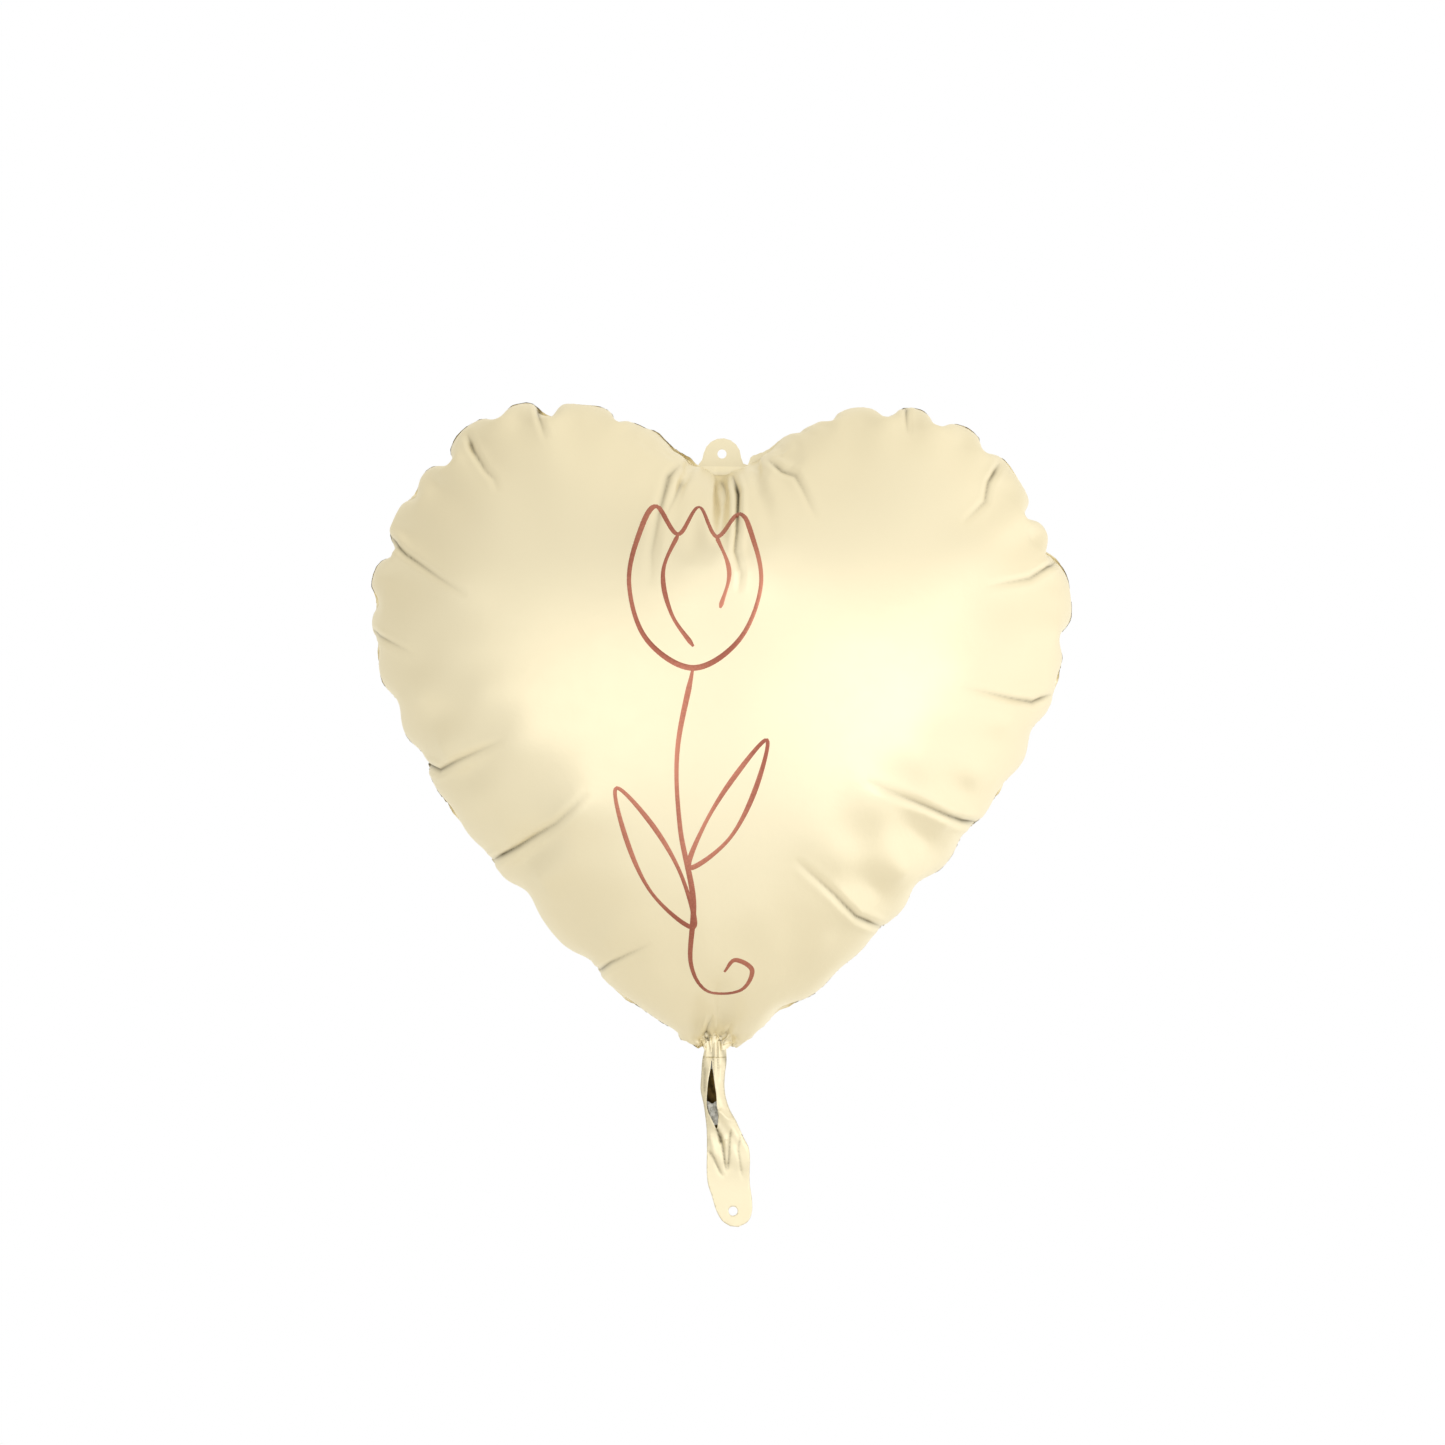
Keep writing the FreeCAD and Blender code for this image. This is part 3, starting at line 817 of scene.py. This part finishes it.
def stroke_on_film(width, closed, points, faces, out):
    """A ribbon along a fair curve: five points across, raised about a tenth of a millimetre, its edges just
    under the film. Its width swells and thins by a seventh, as cos(2 pi n s), with s from 0 to 1 along it."""
    line = smooth_line(points, 1.1, closed)
    t = np.roll(line, -1, 0) - np.roll(line, 1, 0) if closed else np.gradient(line, axis=0)
    side = np.c_[-t[:, 1], t[:, 0]] / np.linalg.norm(t, axis=1)[:, None]
    s = np.linspace(0, 1, len(line))
    swell = 0.86 + 0.14 * np.cos(2 * math.pi * (3 if closed else 2) * s)
    if not closed:
        swell *= np.minimum(1, 0.45 + 12 * np.minimum(s, 1 - s))
    across = np.array([-1, -0.55, 0, 0.55, 1]) * width / 2
    raised = np.array([-0.02, 0.12, 0.15, 0.12, -0.02])
    q = line[:, None] + side[:, None] * (across[None] * swell[:, None])[..., None]
    corners, w3 = find_place(powers(q.reshape(-1, 2)) @ motion, faces)
    where = (shape[corners] * w3[..., None]).sum(1)
    up = (out[corners] * w3[..., None]).sum(1)
    points = where + up * np.tile(raised, len(line))[:, None]
    rows = grid_faces(len(line), 5)
    if closed:
        last, i = 5 * (len(line) - 1), np.arange(4)
        rows = np.vstack([rows, np.stack([last + i, i, i + 1, last + i + 1], -1)])
    return points, rows


mid_film = (bag.layer == 1) & (abs(cut_uv[:, 0]) < 80) & (cut_uv[:, 1] > -400) & (cut_uv[:, 1] < -70)
motion = np.linalg.lstsq(powers(cut_uv[mid_film]), shape[mid_film][:, [0, 2]], rcond=None)[0]
near_print = np.nonzero((bag.part == 0) & (abs(cut_uv[bag.faces].mean(1)[:, 0]) < 75))[0]
out = normals(shape, bag.faces[bag.part == 0])
ink_points, ink_faces, count = [], [], 0
for width, closed, points in strokes.values():
    points, rows = stroke_on_film(width, closed, points, bag.faces[near_print], out)
    ink_points.append(points)
    ink_faces.append(rows + count)
    count += len(points)
print_piece = piece("printed_tulip", np.vstack(ink_points), np.vstack(ink_faces), ink)

# %% [markdown]
# ## Neck and tail
# Below the tip both films run on as one narrow strip, the filling tail. It is gathered where it leaves the
# bag, hollow above, where the air went in, and welded flat at its end, around a hole for a thread.
# One formula gives the depth, y, of both plies at any place (x, z): a lens between the two edges, pleats that
# die away below the neck, and a slow wave in the flat part. Neck and tail share it, and meet without a step.

# %% Depth of the tail
STEP = 0.85                     # spacing of the points in the tail
NECK_TOP, NECK_END = -321.0, -329.6
MARGIN = 0.91                   # the outer part of each side is welded flat
FILM = 0.07                     # a ply as it is drawn, with room for its lacquer
left_edge = smooth_line(((-4.7, -319), (-5.1, -325), (-6.3, -331.6), (-6.8, -340.4), (-7.0, -348),
                         (-5.3, -355.7), (-4.3, -362.2), (-3.4, -369.8), (-3.1, -380.8), (-3.1, -391.7),
                         (-2.3, -399.4), (-0.1, -405.9), (2.3, -413.5), (5.7, -419.3), (10.1, -422.2)), 0.8)
right_edge = smooth_line(((6.4, -319), (6.7, -325), (6.9, -332.5), (6.2, -339.1), (6.0, -345.7),
                          (6.9, -352.2), (9.2, -358.7), (12.4, -364.2), (14.9, -369.6), (17.6, -375.0),
                          (19.8, -379.4), (20.5, -385.9), (20.4, -391.4), (20.6, -399.1), (21.9, -407.8),
                          (21.9, -414.5), (19.7, -419.6), (14.6, -422.5)), 0.8)
# how far each ply stands off the middle plane, by height
depth_at = np.array(((-318, 0.8), (-325, 0.9), (-328, 1.3), (-333, 2.1), (-340, 3.3), (-347, 4.1),
                     (-356, 4.2), (-364, 3.1), (-372, 1.8), (-382, 0.8), (-391, 0.2), (-396, 0.0),
                     (-430, 0.0)))


def edges_at(z):
    """x of the left and right edges at height z."""
    return (np.interp(-z, -edge[:, 1], edge[:, 0]) for edge in (left_edge, right_edge))


def across(x, z):
    """Place between the two edges at height z: -1 at the left one and 1 at the right one."""
    left, right = edges_at(z)
    return (2 * x - left - right) / (right - left)


def pucker(t, z, side):
    """Uneven pleats of 0.4 mm across the neck that fade down the tail, from hollow (-) to ridge (+)."""
    return 0.4 * np.cos(11 * t + 1.7 * np.sin(5 * t + side) + 0.24 * (z + 330)) * ramp(z, -350, -331)


def tail_depth(x, z, side):
    """side is -1 for the front ply and 1 for the back: side * b(z) * (1 - (t / margin)^2)^0.6, where t runs
    from -1 to 1 between the edges, plus the pleats, a soft swelling, and a wave for both plies."""
    t = np.clip(across(x, z), -1, 1)
    lens = np.maximum(0, 1 - (t / MARGIN)**2)**0.6
    b = np.interp(-z, -depth_at[:, 0], depth_at[:, 1])
    pleats = pucker(t, z, side) * lens**0.5
    soft = 0.30 * np.sin(7 * t + 0.31 * z + side) * lens * ramp(z, -333, -345) * ramp(z, -396, -380)
    wave = 1.2 * np.sin(math.pi * (z + 414) / 26) * ramp(z, -378, -392) * (0.55 + 0.45 * t)
    return side * (FILM + b * lens + pleats + soft) + wave


# %% Neck
GIRTH = 26                      # way round the neck
PLEAT_SHADE = 3.0               # darkening in a pleat, per square millimetre of its depth squared
turn = np.linspace(0, 2 * math.pi, 120, endpoint=False)
rows_z = np.r_[np.linspace(NECK_TOP, NECK_END, 28), NECK_END - 0.4, NECK_END - 1.2]
z_grid, u_grid = np.meshgrid(rows_z, turn, indexing="ij")
left, right = edges_at(z_grid)
x_grid = (left + right) / 2 + (right - left) / 2 * np.cos(u_grid)
side_grid = np.where(np.sin(u_grid) > 0, -1, 1)
y_grid = tail_depth(x_grid, z_grid, side_grid)
tucked = z_grid < NECK_END - 0.1                # the last rows go down inside the tail, so that no gap shows
x_grid = np.where(tucked, x_grid - 0.12 * np.cos(u_grid), x_grid)
y_grid = np.where(tucked, y_grid * 0.85, y_grid)
neck_points = np.stack([x_grid, y_grid, z_grid], -1).reshape(-1, 3)
around = np.broadcast_to(turn / (2 * math.pi) * GIRTH, z_grid.shape)
neck_uv = np.stack([around, z_grid], -1).reshape(-1, 2)
# painted shade in the hollows of the neck's pleats
neck_painted_shade = PLEAT_SHADE * np.clip(-pucker(np.cos(u_grid), z_grid, side_grid), 0, 1).ravel()**2
neck_faces = grid_faces(len(rows_z), len(turn), closed=True)[:, ::-1]
neck = piece("gathered_neck", neck_points, neck_faces, foil, uv=neck_uv, painted_shade=neck_painted_shade)

# %% [markdown]
# ## The tail's plies
# The front ply has the filling slit: a lens-shaped opening whose lips stand a little outwards. Folds run down
# from its end: the strip was pinched there when the balloon was filled. Each ply is cut as a flat outline,
# triangulated, and set to its depth.

# %% Tail plies
slit = smooth_line(((-1.3, -331.2), (-1.9, -336.5), (-3.0, -343.0), (-3.5, -349.1), (-3.6, -355.6),
                    (-2.6, -360.0), (-0.2, -364.8), (2.0, -369.0), (2.7, -364.3), (2.6, -359.9),
                    (2.0, -355.6), (1.7, -350.9), (0.9, -345.7), (0.0, -340.3), (-0.7, -335.5)),
                   STEP, closed=True)
turn = np.linspace(0, 2 * math.pi, 28, endpoint=False)
tail_hole = np.c_[11.6 + HOLE_R * np.cos(turn), -414 + HOLE_R * np.sin(turn)]
lower = [edge[edge[:, 1] < NECK_END - 0.3] for edge in (left_edge, right_edge)]
top = np.array([[x, NECK_END] for x in np.linspace(*(float(e) for e in edges_at(np.array(NECK_END))), 16)])
outline = np.vstack([lower[0], lower[1][::-1], top[::-1]])
DEEPER, DARKER = 1.3, 1.1       # factors on the height of every fold, and on its shade
# each fold: height towards the front, width, and the line it follows
tail_folds = (
    (-1.3, 0.9, ((1.9, -368.0), (3.9, -374.1), (5.2, -379.0))),
    (-0.9, 0.7, ((3.9, -369.5), (5.7, -380.7), (6.9, -388.3), (8.3, -395.5))),
    (-0.8, 0.7, ((9.9, -367.5), (9.4, -374.1), (9.0, -383.9), (8.3, -396.0))),
    (1.1, 1.6, ((2.6, -358.0), (8.2, -363.1), (13.2, -365.3))),
    (0.9, 1.2, ((7.2, -374.0), (7.3, -382.0), (8.1, -390.0))),
    (-0.7, 0.9, ((-3.1, -379.9), (0.8, -385.1), (4.2, -392.7), (7.5, -396.9))),
    (0.6, 1.2, ((-1.5, -372.0), (0.5, -379.0), (1.5, -388.0))),
    (-0.5, 0.8, ((15.5, -371.0), (14.0, -380.0), (15.5, -390.0), (17.4, -399.0))),
    (0.7, 0.9, ((3.6, -334.0), (4.0, -342.0), (3.6, -350.0))),
    (-0.6, 0.8, ((-4.6, -334.0), (-5.0, -341.0), (-4.8, -352.0))),
)


def strip(side, holes):
    """Points and faces of one ply: the outline without its holes, on a lattice, at the formula's depth."""
    loops = [outline, *holes]
    grid = lattice(outline.min(0), outline.max(0), STEP)
    grid = grid[inside(grid, outline) & ~np.any([inside(grid, h) for h in holes], axis=0)]
    grid = grid[nearest(grid, np.vstack(loops))[0] > 0.55 * STEP]
    flat_points = np.vstack([*loops, grid])
    start = np.cumsum([0] + [len(loop) for loop in loops])
    f = triangulate(flat_points, np.vstack([ring_edges(a, len(loop)) for a, loop in zip(start, loops)]))
    middle = flat_points[f].mean(1)
    f = f[inside(middle, outline) & ~np.any([inside(middle, h) for h in holes], axis=0)]
    x, z = flat_points.T
    hollow = np.clip(-pucker(across(x, z), z, side), 0, 1)
    # painted shade: an even 0.06 over the ply, more in the pleats' hollows, and more along the folds that
    # sink away from the front
    y, painted_shade = tail_depth(x, z, side), 0.06 + PLEAT_SHADE * hollow**2
    together = 1.0 if side < 0 else ramp(z, -372, -384)
    for height, width, line in tail_folds:
        path = even_line(np.array(line, float), 0.5)
        far, which = nearest(flat_points, path)
        s = which / (len(path) - 1)
        v = np.exp(-far / width) * ramp(s, -0.02, 0.15) * ramp(s, 1.0, 0.7)
        y -= DEEPER * height * v * together
        painted_shade = np.maximum(painted_shade, DARKER * np.maximum(0, -height) * v**1.6 * together)
    if side < 0:
        y -= 0.5 * np.exp(-nearest(flat_points, slit)[0] / 1.0) * ramp(z, -366, -352)
    points = np.stack([x, y, z], 1)
    a, b, c = points[f[0]]
    if np.cross(b - a, c - a)[1] * side < 0:
        f = f[:, ::-1]
    return points, f, flat_points, np.clip(painted_shade, 0, 1)


tail_plies = []
for name, side, holes in (("tail_front", -1, [slit, tail_hole]), ("tail_back", 1, [tail_hole])):
    points, f, uv, painted_shade = strip(side, holes)
    ply = piece(name, points, f, foil, inside_painted_dark, uv=uv + [600, 0], painted_shade=painted_shade)
    wall = ply.modifiers.new("film", "SOLIDIFY")
    wall.thickness, wall.offset = FILM * MM, -1.0
    wall.material_offset, wall.material_offset_rim = 1, 0
    tail_plies.append(ply)
tail_front, tail_back = tail_plies

# %% [markdown]
# ## The valve's mouth
# A foil balloon closes itself: two soft clear films lie against each other in the tail, and air can only push
# them apart from outside. Their mouth shows in the lower part of the slit, crumpled and milky. The front one
# is the lip that lifts.

# %% Valve films
def crumpled(name, y, seed):
    """A grid between four corners, at depth y less a sum of sharp ridges, 1 - |sin|, in random directions."""
    draw = np.random.default_rng(seed)
    v, u = np.meshgrid(np.linspace(0, 1, 46), np.linspace(0, 1, 30), indexing="ij")
    x = (1 - v) * (-3.7 + 6.0 * u) + v * (-0.6 + 5.2 * u)
    z = -354.6 - 12.2 * v - 0.8 * np.sin(5.2 * u + seed) * (1 - v)
    bumps = sum((1 - abs(np.sin(draw.uniform(0.5, 1.5) * (x * math.cos(k) + z * math.sin(k)) + k))) / 4
                for k in draw.uniform(0, 2 * math.pi, 5))
    points = np.stack([x, y - 0.42 * (bumps - 0.45), z], -1).reshape(-1, 3)
    return piece(name, points, grid_faces(46, 30), valve_film)


valve_lip = crumpled("valve_lip", -1.15, 11)
valve_back = crumpled("valve_back", -0.35, 12)

# %% [markdown]
# ## The sleeves inside
# The rest of the valve runs up inside the bag, where nobody sees it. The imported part's own solids have the
# right shape for that, so they keep it and only get the clear film.

# %% Finish the hidden films
for name in ("valve_sleeve_front", "valve_sleeve_back", "valve_neck_films"):
    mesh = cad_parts[name].data
    mesh.materials.clear()
    mesh.materials.append(valve_film)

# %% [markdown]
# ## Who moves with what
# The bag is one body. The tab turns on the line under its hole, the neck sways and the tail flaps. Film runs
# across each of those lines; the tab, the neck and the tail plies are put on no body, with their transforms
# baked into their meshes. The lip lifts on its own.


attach(front_foil, "heart")
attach(back_foil, "heart")
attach(print_piece, "heart")
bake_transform(tab)
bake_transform(neck)
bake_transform(tail_front)
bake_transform(tail_back)
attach(valve_back, "tail")
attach(valve_lip, "valve_lip")
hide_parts("front_panel")
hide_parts("back_panel")
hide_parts("tab_front_ply", "tab_back_ply")
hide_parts("neck_front_ply", "neck_back_ply")
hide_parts("tail_front_ply", "tail_end")
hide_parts("tail_back_ply")
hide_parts("valve_back_film")
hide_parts("valve_front_film")

# %% [markdown]
# ## Light
# Satin metal shows the room, not the lamp. So the room itself is soft light, brightest below and on the
# right, dimmer above, behind and on the left. Two large panels in front give the broad highlights. Seen
# directly, the room is plain white.

# %% Room, floor and lamps
world = bpy.data.worlds.new("soft white room")
bpy.context.scene.world = world
world.use_nodes = True
tree = world.node_tree
tree.nodes.clear()
direction = node(tree, "TexCoord").outputs["Generated"]
axes = node(tree, "SeparateXYZ", links=[("Vector", direction)])


def brightness(axis, *stops):
    """Colours of the room along one axis, from -1 at position 0 to 1 at position 1."""
    place = node(tree, "MapRange", From_Min=-1.0, From_Max=1.0, links=[("Value", axes.outputs[axis])])
    return ramp_colours(tree, place.outputs["Result"], *stops)


def times(a, b):
    """The product of two colours."""
    product = node(tree, "Mix", {"data_type": "RGBA", "blend_type": "MULTIPLY"}, links=[(6, a), (7, b)])
    product.inputs["Factor"].default_value = 1.0
    return product.outputs[2]


depthwise = brightness("Y", (0.0, "#E0E0DE"), (0.30, "#E8E7E4"), (0.50, "#EFEDE8"), (1.0, "#DCDAD3"))
heightwise = brightness("Z", (0.0, "#FFFFFF"), (0.45, "#FFFFFF"), (0.75, "#F2F0EC"), (1.0, "#E8E6E1"))
sideways = brightness("X", (0.0, "#CAC8C2"), (0.5, "#F6F5F1"), (1.0, "#F8F7F4"))
whole_room = times(times(depthwise, heightwise), sideways)
room = node(tree, "Background", Strength=1.62, links=[("Color", whole_room)])
seen = node(tree, "Background", Color=(1, 1, 1, 1), Strength=1.0)
straight_on = node(tree, "LightPath").outputs["Is Camera Ray"]
which_one = node(tree, "MixShader", links=[(0, straight_on), (1, room.outputs[0]), (2, seen.outputs[0])])
node(tree, "OutputWorld", links=[("Surface", which_one.outputs[0])])

FLOOR_Z, FLOOR_HALF = -0.80, 0.7
floor_corners = [(x * FLOOR_HALF, y * FLOOR_HALF, FLOOR_Z) for x, y in ((-1, -1), (1, -1), (1, 1), (-1, 1))]
floor_mesh = bpy.data.meshes.new("floor")
floor_mesh.from_pydata(floor_corners, [], [(0, 1, 2, 3)])
floor = bpy.data.objects.new("floor", floor_mesh)
bpy.context.scene.collection.objects.link(floor)
paper, tree = material("White paper")
fibre = noise(tree, object_place(tree), 0.004, 2.0)
surface(tree, [("Base Color", ramp_colours(tree, fibre, (0.3, "#F1F0EE"), (0.7, "#F6F5F3")))], Roughness=0.8)
floor_mesh.materials.append(paper)
floor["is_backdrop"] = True

aim = Vector((0.0, 0.0, -0.14))
for name, place, size, watts in (("left panel", (-0.75, -1.7, -0.25), 1.1, 2.9),
                                 ("right panel", (1.0, -1.6, -0.15), 1.0, 3.2)):
    lamp = bpy.data.lights.new(name, "AREA")
    lamp.energy, lamp.size = watts, size
    lamp.color = light("#FFFAF2")[:3]
    lamp_object = bpy.data.objects.new(name, lamp)
    lamp_object.location = place
    lamp_object.rotation_euler = (aim - Vector(place)).to_track_quat("-Z", "Y").to_euler()
    bpy.context.scene.collection.objects.link(lamp_object)
bpy.context.scene.view_settings.view_transform = "Standard"

# %% [markdown]
# ## Camera
# Level, two metres in front of the balloon, and turned by less than a degree about its own line of sight,
# because the balloon hangs very slightly askew.

# %% Camera
DISTANCE, FIELD, ROLL = 2.0, 0.7904, 0.77       # metres away, metres across the view there, degrees
camera = bpy.data.objects.new("camera", bpy.data.cameras.new("camera"))
camera.location = (0.00225, -DISTANCE, -0.14685)
camera.data.sensor_width = 36
camera.data.lens = 36 * DISTANCE / FIELD
face_on = Vector((0, 1, 0)).to_track_quat("-Z", "Y").to_matrix()
roll = math.radians(ROLL)
spin = face_on.copy()
spin.col[0], spin.col[1] = (face_on.col[0] * math.cos(roll) + face_on.col[1] * math.sin(roll),
                            face_on.col[1] * math.cos(roll) - face_on.col[0] * math.sin(roll))
camera.rotation_euler = spin.to_euler()
bpy.context.scene.collection.objects.link(camera)
bpy.context.scene.camera = camera

# %% [markdown]
# ## The size
# The looks are meant to fill the same space as the imported part, so both boxes are printed side by side.

# %% Sizes and finish
visual_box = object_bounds()
boxes = {"cad": [list(map(float, c)) for c in cad_box], "visual": [list(map(float, c)) for c in visual_box]}
for key, (low, high) in boxes.items():
    print(key, "mm:", [round(c / MM, 1) for c in low], [round(c / MM, 1) for c in high])
